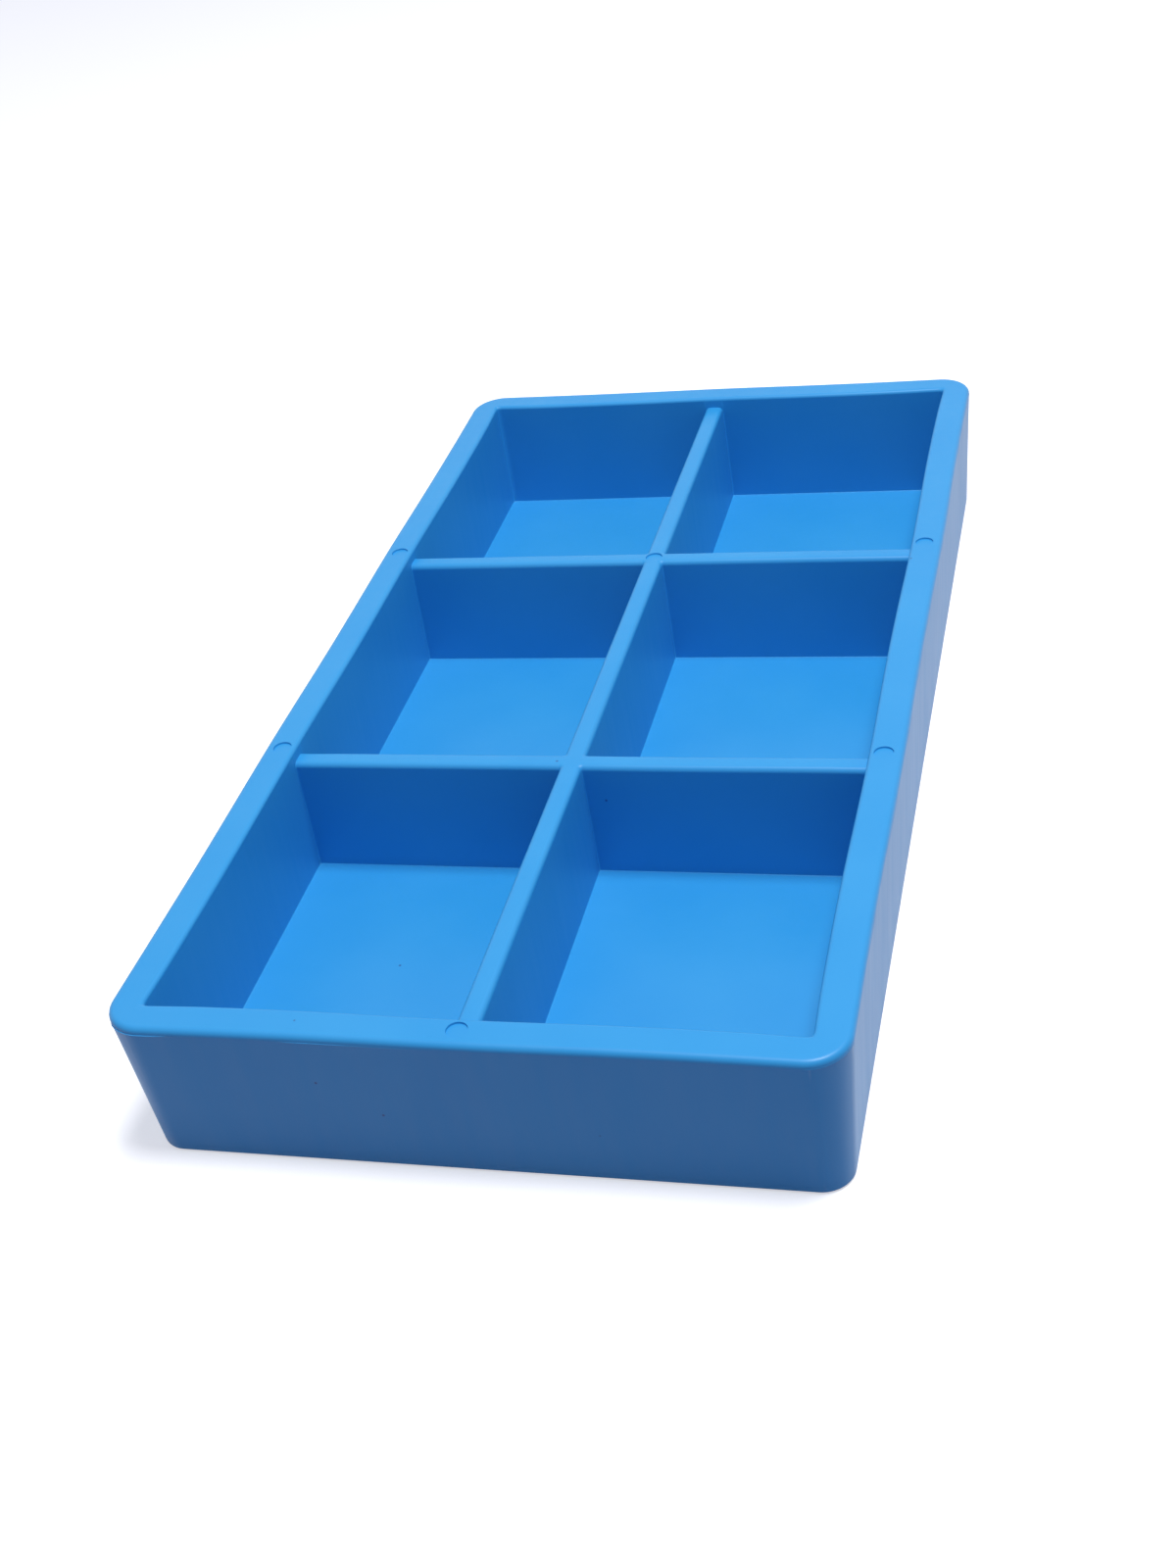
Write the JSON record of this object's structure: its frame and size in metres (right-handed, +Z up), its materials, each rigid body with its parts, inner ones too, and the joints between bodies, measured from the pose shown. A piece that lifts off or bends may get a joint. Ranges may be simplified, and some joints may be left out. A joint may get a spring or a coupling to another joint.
{
  "type": "silicone soap mould",
  "caption": "Shallow rectangular silicone mould with equal open rectangular cavities for casting soap bars, a raised rounded rim and lower rounded dividers.",
  "frame": {"origin": "centre of the foot, on the surface that the mould stands on", "axes": "+X across the mould, +Y along its length away from the front wall, +Z up out of the cavities"},
  "size_m": [0.138, 0.2626, 0.033],
  "materials": {
    "silicone": "satin sky-blue moulded silicone rubber"
  },
  "bodies": {
    "root": {"floor": "silicone", "front_wall": "silicone", "rear_wall": "silicone", "left_wall": "silicone", "right_wall": "silicone", "long_divider": "silicone", "front_left_cross_divider": "silicone", "front_right_cross_divider": "silicone", "rear_left_cross_divider": "silicone", "rear_right_cross_divider": "silicone"}
  },
  "joints": []
}
